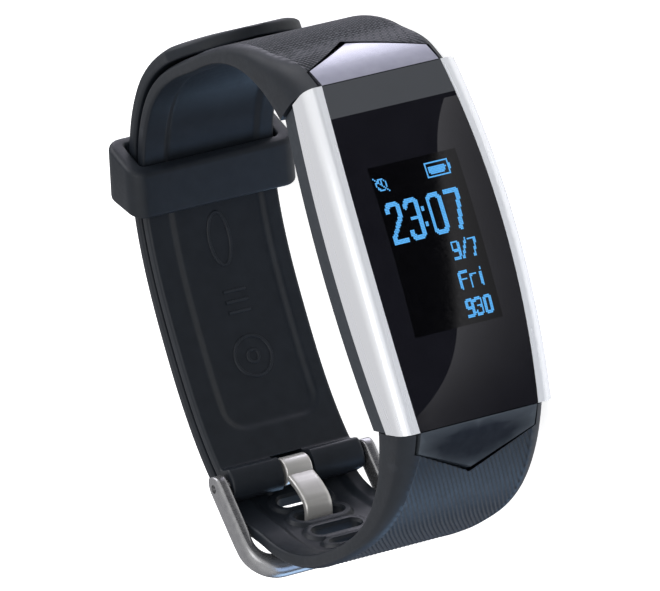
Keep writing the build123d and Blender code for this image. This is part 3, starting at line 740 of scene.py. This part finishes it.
def mixed(tree, factor, first, second):
    """A colour between two, each a tuple or a socket."""
    node = tree.nodes.new("ShaderNodeMix")
    node.data_type = "RGBA"
    tree.links.new(factor, node.inputs["Factor"])
    for slot, colour in (("A", first), ("B", second)):
        target = [s for s in node.inputs if s.name == slot and s.type == "RGBA"][0]
        if isinstance(colour, tuple):
            target.default_value = (*colour, 1.0)
        else:
            tree.links.new(colour, target)
    return [s for s in node.outputs if s.type == "RGBA"][0]


def painted_edge_highlight(tree, colour, edge, strength):
    """A painted highlight: the colour turns to another along the mesh's outer edges."""
    geometry = tree.nodes.new("ShaderNodeNewGeometry")
    share = spread(tree, geometry.outputs["Pointiness"], 0.0, strength, 0.51, 0.6)
    return mixed(tree, share, colour, edge)


def surface(name, dark, light, rough, grain=900.0, fine=5000.0, bump=0.15, bump_mm=0.02, stretch=(1, 1, 1),
            edge=None, edge_highlight_strength=0.5, **shader_values):
    """A material whose colour, roughness and fine relief all vary over the surface, with a painted highlight
    along its edges when an edge colour is given.
    """
    material = bpy.data.materials.new(f"finish_{name}")
    material.use_nodes = True
    tree = material.node_tree
    shader = tree.nodes["Principled BSDF"]
    colour = mixed(tree, spread(tree, noise(tree, grain, stretch), 0.0, 1.0), dark, light)
    # painted highlight: the edge colour is laid along the mesh's outer edges
    if edge:
        colour = painted_edge_highlight(tree, colour, edge, edge_highlight_strength)
    tree.links.new(colour, shader.inputs["Base Color"])
    tree.links.new(spread(tree, noise(tree, grain * 2.7, stretch), *rough), shader.inputs["Roughness"])
    relief = tree.nodes.new("ShaderNodeBump")
    relief.inputs["Strength"].default_value = bump
    relief.inputs["Distance"].default_value = bump_mm * MM
    tree.links.new(noise(tree, fine, stretch, 2.0), relief.inputs["Height"])
    tree.links.new(relief.outputs["Normal"], shader.inputs["Normal"])
    for key, value in shader_values.items():
        shader.inputs[key.replace("_", " ")].default_value = value
    return material


def traces(material, line, scale):
    """Fine copper tracks over a circuit board's or a flex's colour."""
    tree = material.node_tree
    base = tree.nodes["Principled BSDF"].inputs["Base Color"]
    under = base.links[0].from_socket
    place = tree.nodes.new("ShaderNodeTexCoord")
    cells = tree.nodes.new("ShaderNodeTexVoronoi")
    cells.feature = "DISTANCE_TO_EDGE"
    cells.inputs["Scale"].default_value = scale
    cells.inputs["Randomness"].default_value = 0.6
    tree.links.new(place.outputs["Object"], cells.inputs["Vector"])
    share = spread(tree, cells.outputs["Distance"], 1.0, 0.0, 0.02, 0.06)
    tree.links.new(mixed(tree, share, under, line), base)
    return material


def glowing(name, colour, strength):
    """Lit pixels: a steady glow with a slight unevenness from pixel to pixel."""
    material = surface(name, (0.01, 0.03, 0.06), (0.02, 0.05, 0.09), (0.3, 0.4))
    tree = material.node_tree
    shader = tree.nodes["Principled BSDF"]
    dim = tuple(0.82 * c for c in colour)
    lit = mixed(tree, noise(tree, 1 / (PIXEL * MM), detail=1.0), dim, colour)
    tree.links.new(lit, shader.inputs["Emission Color"])
    shader.inputs["Emission Strength"].default_value = strength
    return material


BRUSHED = (1, 1, 0.04)          # streaks along the band's width
ALONG_RAIL = (0.04, 1, 1)


def make_materials():
    """One material for each of the record's slots, a darker copy of the buckle steel for the frame as painted
    shade, and the window's and the pixels'.
    """
    return {
        "lens_glass": surface("lens_glass", (0.0042, 0.0042, 0.0058), (0.0055, 0.0055, 0.0075),
                              (0.004, 0.008), grain=300, bump=0.0, IOR=1.52),
        "gasket_foam": surface("gasket_foam", (0.01, 0.01, 0.011), (0.03, 0.03, 0.032), (0.85, 0.95),
                               grain=4000, bump=0.6, bump_mm=0.05),
        "rail_silver": surface("rail_silver", (0.76, 0.77, 0.80), (0.80, 0.81, 0.83), (0.25, 0.28),
                               grain=150, bump=0.0, stretch=ALONG_RAIL, Metallic=0.5),
        "case_plastic": surface("case_plastic", (0.022, 0.028, 0.036), (0.028, 0.034, 0.043), (0.36, 0.44),
                                bump=0.1, Specular_IOR_Level=0.2),
        # its lighter outer edges are a painted highlight
        "cover_plastic": surface("cover_plastic", (0.016, 0.018, 0.021), (0.022, 0.024, 0.028), (0.42, 0.5),
                                 fine=7000, bump=0.25, edge=(0.05, 0.053, 0.06)),
        "seal_rubber": surface("seal_rubber", (0.012, 0.012, 0.014), (0.02, 0.02, 0.022), (0.6, 0.7)),
        "screw_steel": surface("screw_steel", (0.45, 0.45, 0.46), (0.6, 0.6, 0.61), (0.25, 0.35),
                               stretch=BRUSHED, Metallic=1.0),
        "trim_gloss": surface("trim_gloss", (0.15, 0.155, 0.19), (0.17, 0.175, 0.21), (0.12, 0.16),
                              bump=0.02, Metallic=0.6, Coat_Weight=0.5),
        # its lighter outer edges are a painted highlight
        "trim_satin": surface("trim_satin", (0.009, 0.011, 0.015), (0.012, 0.0145, 0.019), (0.18, 0.22),
                              bump=0.0, edge=(0.10, 0.115, 0.13), edge_highlight_strength=0.4, Specular_IOR_Level=0.15),
        "display_glass": surface("display_glass", (0.01, 0.01, 0.016), (0.015, 0.015, 0.022), (0.03, 0.06)),
        "flex_amber": traces(surface("flex_amber", (0.45, 0.19, 0.03), (0.55, 0.25, 0.05), (0.3, 0.4)),
                             (0.75, 0.42, 0.15), 1500),
        "sensor_film": traces(surface("sensor_film", (0.3, 0.28, 0.24), (0.36, 0.34, 0.3), (0.25, 0.35)),
                              (0.7, 0.66, 0.6), 900),
        "board_green": traces(surface("board_green", (0.008, 0.06, 0.028), (0.012, 0.085, 0.04), (0.3, 0.4)),
                              (0.05, 0.2, 0.08), 1100),
        "chip_black": surface("chip_black", (0.012, 0.012, 0.013), (0.022, 0.022, 0.024), (0.5, 0.6),
                              fine=12000, bump=0.3),
        "antenna_ceramic": surface("antenna_ceramic", (0.5, 0.48, 0.43), (0.6, 0.58, 0.53), (0.45, 0.55)),
        "battery_pouch": surface("battery_pouch", (0.45, 0.46, 0.48), (0.6, 0.61, 0.62), (0.28, 0.42),
                                 grain=400, fine=1500, bump=0.4, bump_mm=0.06, Metallic=0.9),
        "motor_steel": surface("motor_steel", (0.5, 0.5, 0.52), (0.62, 0.62, 0.64), (0.2, 0.3), Metallic=1.0),
        "rotor_brass": surface("rotor_brass", (0.55, 0.42, 0.2), (0.65, 0.5, 0.26), (0.3, 0.4), Metallic=1.0),
        "led_lens": surface("led_lens", (0.25, 0.5, 0.2), (0.35, 0.62, 0.28), (0.1, 0.18)),
        "window_smoked": surface("window_smoked", (0.008, 0.01, 0.01), (0.012, 0.014, 0.014), (0.04, 0.08)),
        "contact_gold": surface("contact_gold", (0.75, 0.52, 0.22), (0.85, 0.62, 0.3), (0.18, 0.28),
                                Metallic=1.0),
        "pin_steel": surface("pin_steel", (0.4, 0.4, 0.41), (0.5, 0.5, 0.51), (0.25, 0.35), Metallic=1.0),
        # its lighter outer edges are a painted sheen
        "strap_rubber": surface("strap_rubber", (0.0085, 0.0112, 0.0158), (0.0108, 0.0142, 0.0198),
                                (0.4, 0.47), grain=700, fine=9000, bump=0.15, bump_mm=0.01,
                                edge=(0.03, 0.035, 0.044),
                                edge_highlight_strength=0.3, Specular_IOR_Level=0.28),
        "buckle_steel": surface("buckle_steel", (0.56, 0.55, 0.53), (0.66, 0.65, 0.63), (0.28, 0.36),
                                grain=1500, fine=9000, bump=0.06, bump_mm=0.004, stretch=BRUSHED,
                                Metallic=0.6),
        # painted shade: a darker copy of the buckle steel, for the frame alone
        "shaded_frame_steel": surface("shaded_frame_steel", (0.30, 0.30, 0.31), (0.37, 0.37, 0.375), (0.24, 0.31),
                               grain=1500, fine=9000, bump=0.05, bump_mm=0.004, stretch=BRUSHED,
                               Metallic=0.85),
        "window_film": surface("window_film", (0.0008, 0.0008, 0.001), (0.0012, 0.0012, 0.0015), (0.02, 0.04),
                               bump=0.0, Specular_IOR_Level=0.42),
        "pixel_glow": glowing("pixel_glow", (0.088, 0.43, 0.91), 1.1),
    }


def finish_with(piece, material):
    piece.data.materials.clear()
    piece.data.materials.append(material)


# ---- putting the object together ----
materials = make_materials()
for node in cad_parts.values():
    for material_slot in node.material_slots:
        record_slot = material_slot.material.name.split(".")[0]
        material_slot.material = materials[record_slot]

PIECES = (
    (build_upper_strap, "case", "upper_strap", "strap_rubber", "strap_rubber"),
    (build_lower_strap, "case", "lower_strap", "strap_rubber", "strap_rubber"),
    (build_keeper, "keeper", "keeper_loop", "strap_rubber", "strap_rubber"),
    (build_frame, "frame", "buckle_frame", "buckle_steel", "shaded_frame_steel"),
    (build_tongue, "tongue", "buckle_tongue", "buckle_steel", "buckle_steel"),
)
for build, body, replaced, slot_name, material_name in PIECES:
    piece = build()
    if replaced == "upper_strap":
        join(piece, raised_shapes())
    shade(piece)
    finish_with(piece, materials[material_name])
    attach(piece, body)
    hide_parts(replaced)

for build, material_name in ((build_window, "window_film"), (build_pixels, "pixel_glow")):
    piece = build()
    finish_with(piece, materials[material_name])
    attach(piece, "case")


# ---- camera, floor and light ----
VIEW_RIGHT = np.array([-0.2725, -0.4292, -0.8616])
VIEW_UP = np.array([0.9592, -0.1824, -0.2124])
VIEW_BACK = np.array([-0.0660, -0.8845, 0.4616])
VIEW_DISTANCE = 0.9
VIEW_OFFSET = (0.01142, 0.00577)          # where the display's middle is from the centre of the view
LENS_MM, SENSOR_MM = 457.5, 36.0

eye = ORIGIN - VIEW_RIGHT * VIEW_OFFSET[0] - VIEW_UP * VIEW_OFFSET[1] + VIEW_BACK * VIEW_DISTANCE
camera_data = bpy.data.cameras.new("camera")
camera_data.lens, camera_data.sensor_width = LENS_MM, SENSOR_MM
camera_data.clip_start, camera_data.clip_end = 0.05, 20.0
camera = bpy.data.objects.new("camera", camera_data)
camera.matrix_world = Matrix([[*row, place] for row, place in
                              zip(np.stack([VIEW_RIGHT, VIEW_UP, VIEW_BACK], axis=1).tolist(), eye.tolist())]
                             + [[0, 0, 0, 1]])
bpy.context.scene.collection.objects.link(camera)
bpy.context.scene.camera = camera


def build_floor():
    """A plain pale table that also glows, large enough to fill the view."""
    reach = 6.0
    verts = np.array([[-reach, -reach, 0], [reach, -reach, 0], [reach, reach, 0], [-reach, reach, 0]], float)
    floor = make_object("floor", verts, [(0, 1, 2, 3)])
    floor.data.materials.append(surface("floor_white", (0.93, 0.93, 0.93), (0.95, 0.95, 0.95), (0.6, 0.7),
                                        grain=3, fine=40, bump=0.02, Emission_Color=(1, 1, 1, 1),
                                        Emission_Strength=0.75))
    floor.visible_glossy = False          # the glass and the steel mirror the lights, not the table
    floor.visible_shadow = False          # it glows a little, and no light is cut off by it


def soft_light(name, place, target, size, radiance, colour=(1, 1, 1)):
    """A square soft box that looks at a point. Its radiance is what a mirror would show of it."""
    data = bpy.data.lights.new(name, "AREA")
    data.size = size
    data.energy = radiance * math.pi * size * size
    data.color = colour
    light = bpy.data.objects.new(name, data)
    aim = Vector(target) - Vector(place)
    light.matrix_world = Matrix.Translation(place) @ aim.to_track_quat("-Z", "Y").to_matrix().to_4x4()
    light.visible_camera = False
    bpy.context.scene.collection.objects.link(light)
    return light


def mirrored(u, w, reach):
    """Where the view's ray to a point of the lens goes on to, at a distance, after the lens mirrors it."""
    point = row_frame(u, w, lens_depth(u))
    normal = np.stack([u / LENS_R, -np.sqrt(1 - (u / LENS_R) ** 2), 0 * u], axis=-1)
    sight = eye - point
    sight = sight / np.linalg.norm(sight, axis=-1)[..., None]
    out = 2 * np.sum(normal * sight, axis=-1)[..., None] * normal - sight
    return point + out * reach


def reflector(name, places, glow, colour):
    """A soft box through a grid of places, seen only in reflections. glow is its brightness."""
    rows, columns = glow.shape
    faces = [(i * columns + j, (i + 1) * columns + j, (i + 1) * columns + j + 1, i * columns + j + 1)
             for i in range(rows - 1) for j in range(columns - 1)]
    card = make_object(name, places, faces)
    values = card.data.attributes.new("glow", "FLOAT", "POINT")
    values.data.foreach_set("value", glow.astype(np.float32).ravel())
    material = bpy.data.materials.new(name)
    material.use_nodes = True
    tree = material.node_tree
    tree.nodes.clear()
    reader = tree.nodes.new("ShaderNodeAttribute")
    reader.attribute_name = "glow"
    emission = tree.nodes.new("ShaderNodeEmission")
    emission.inputs["Color"].default_value = (*colour, 1)
    output = tree.nodes.new("ShaderNodeOutputMaterial")
    tree.links.new(reader.outputs["Fac"], emission.inputs["Strength"])
    tree.links.new(emission.outputs["Emission"], output.inputs["Surface"])
    card.data.materials.append(material)
    card.visible_camera = card.visible_diffuse = card.visible_shadow = False


LENS_CARDS = 0.5                  # how far from the lens its reflected soft boxes are
END_CARDS = (         # beyond 12 and 6 o'clock: x, y from and to, glow in front and at the back, colour
    ("upper_softbox", 0.55, -0.42, 0.60, 0.6, 3.6, (0.90, 0.88, 1.0)),
    ("lower_softbox", -0.55, 0.08, 0.60, 0.0, 3.0, (0.45, 0.68, 1.0)),
)
CARD_Z = (-0.50, -0.06)
CARD_FADE = 0.12                  # soft border of the boxes beyond the ends
BACK_FADE = (-0.1, 0.25)          # where along y the glow at the back starts, and over what
CURVED_EDGE = ((-19.6, -12.04), (-14.0, -2.88), (-5.0, 0.74),        # (u, w) on the lens
               (4.0, 2.10), (11.0, 3.88), (14.9, 6.21))
CURVED_FAR = 9.5                  # the curved box's far side across the lens
EDGE_FALL_OFF = 7.0               # how fast it darkens away from its edge
CORNER_FADE = (-9.0, 3.0)         # across the lens: where it starts to glow, and over what
LOW_END_DIM = 0.45                # how much darker it is at the lens's 6 o'clock end
LOW_END_FADE = (-19.0, 12.0)      # along the lens: where that starts to go, and over what
TOP_U = (15.4, 19.6)              # the box at 12 o'clock: its reach along the lens
TOP_HALF = 9.5
TOP_GLOW = 1.55
HORIZON = (-0.12, 0.10)           # the world's height from dark to white
STRAIGHT_BELOW = (-0.58, -0.68)   # and from dark to white again
DARK_BAND = (0.03, 0.03, 0.04)
GREY_BEHIND = (0.0, 0.7)          # towards the back, where the world turns grey
GREY_SHARE = 0.45
WORLD_STRENGTH = 0.85


def curved_edge(u):
    """Where the edge of the large reflection lies across the lens: one smooth curve through its points."""
    along, across = np.transpose(CURVED_EDGE)
    return np.polyval(np.polyfit(along, across, len(along) - 1), u)


def build_reflections():
    """Soft boxes that only reflections show, two of them placed for this view of the lens."""
    reach = np.linspace(CURVED_EDGE[0][0], CURVED_EDGE[-1][0], 40)
    u, share = np.meshgrid(reach, np.linspace(0, 1, 30), indexing="ij")
    edge = curved_edge(u)
    w = edge + (CURVED_FAR - edge) * share
    fall_off = np.exp(-(w - edge) / EDGE_FALL_OFF)
    low_end = 1 - LOW_END_DIM + LOW_END_DIM * smooth((u - LOW_END_FADE[0]) / LOW_END_FADE[1])
    glow = fall_off * smooth((w - CORNER_FADE[0]) / CORNER_FADE[1]) * low_end
    reflector("curved_softbox", mirrored(u, w, LENS_CARDS), glow, (0.97, 0.96, 1.0))
    u, w = np.meshgrid(np.linspace(*TOP_U, 8), np.linspace(-TOP_HALF, TOP_HALF, 12), indexing="ij")
    reflector("top_softbox", mirrored(u, w, LENS_CARDS), TOP_GLOW + 0 * u, (0.86, 0.92, 1.0))
    for name, x, low_y, high_y, glow, back_glow, colour in END_CARDS:
        y, z = np.meshgrid(np.linspace(low_y, high_y, 30), np.linspace(*CARD_Z, 10), indexing="ij")
        fade = smooth((y - low_y) / CARD_FADE) * smooth((high_y - y) / CARD_FADE)
        brightness = glow + (back_glow - glow) * smooth((y - BACK_FADE[0]) / BACK_FADE[1])
        reflector(name, np.stack([x + 0 * y, y, z], axis=-1), brightness * fade, colour)


def build_world():
    """White above the horizon and straight below, dark in between where the lens looks, grey behind."""
    world = bpy.data.worlds.new("world")
    bpy.context.scene.world = world
    world.use_nodes = True
    tree = world.node_tree
    place = tree.nodes.new("ShaderNodeTexCoord")
    parts = tree.nodes.new("ShaderNodeSeparateXYZ")
    tree.links.new(place.outputs["Generated"], parts.inputs["Vector"])
    height = parts.outputs["Z"]
    above = mixed(tree, spread(tree, height, 0.0, 1.0, *HORIZON), DARK_BAND, (1.0, 1.0, 1.0))
    below = mixed(tree, spread(tree, height, 0.0, 1.0, *STRAIGHT_BELOW), above, (1.0, 1.0, 1.0))
    behind = spread(tree, parts.outputs["Y"], 0.0, GREY_SHARE, *GREY_BEHIND)
    colour = mixed(tree, behind, below, (0.2, 0.2, 0.24))
    tree.links.new(colour, tree.nodes["Background"].inputs["Color"])
    tree.nodes["Background"].inputs["Strength"].default_value = WORLD_STRENGTH


build_floor()
build_world()
build_reflections()
soft_light("key", (-0.10, -0.55, 0.60), (0, 0, 0.01), 0.5, 1.6)
soft_light("top_sheen", (0.55, 0.10, 0.30), (0, 0, 0.01), 0.4, 3.0, (0.96, 0.95, 1.0))
soft_light("low_blue", (-0.40, -0.25, -0.12), (0, 0, 0.01), 0.3, 2.2, (0.40, 0.62, 1.0))
bpy.context.scene.view_settings.view_transform = "Standard"
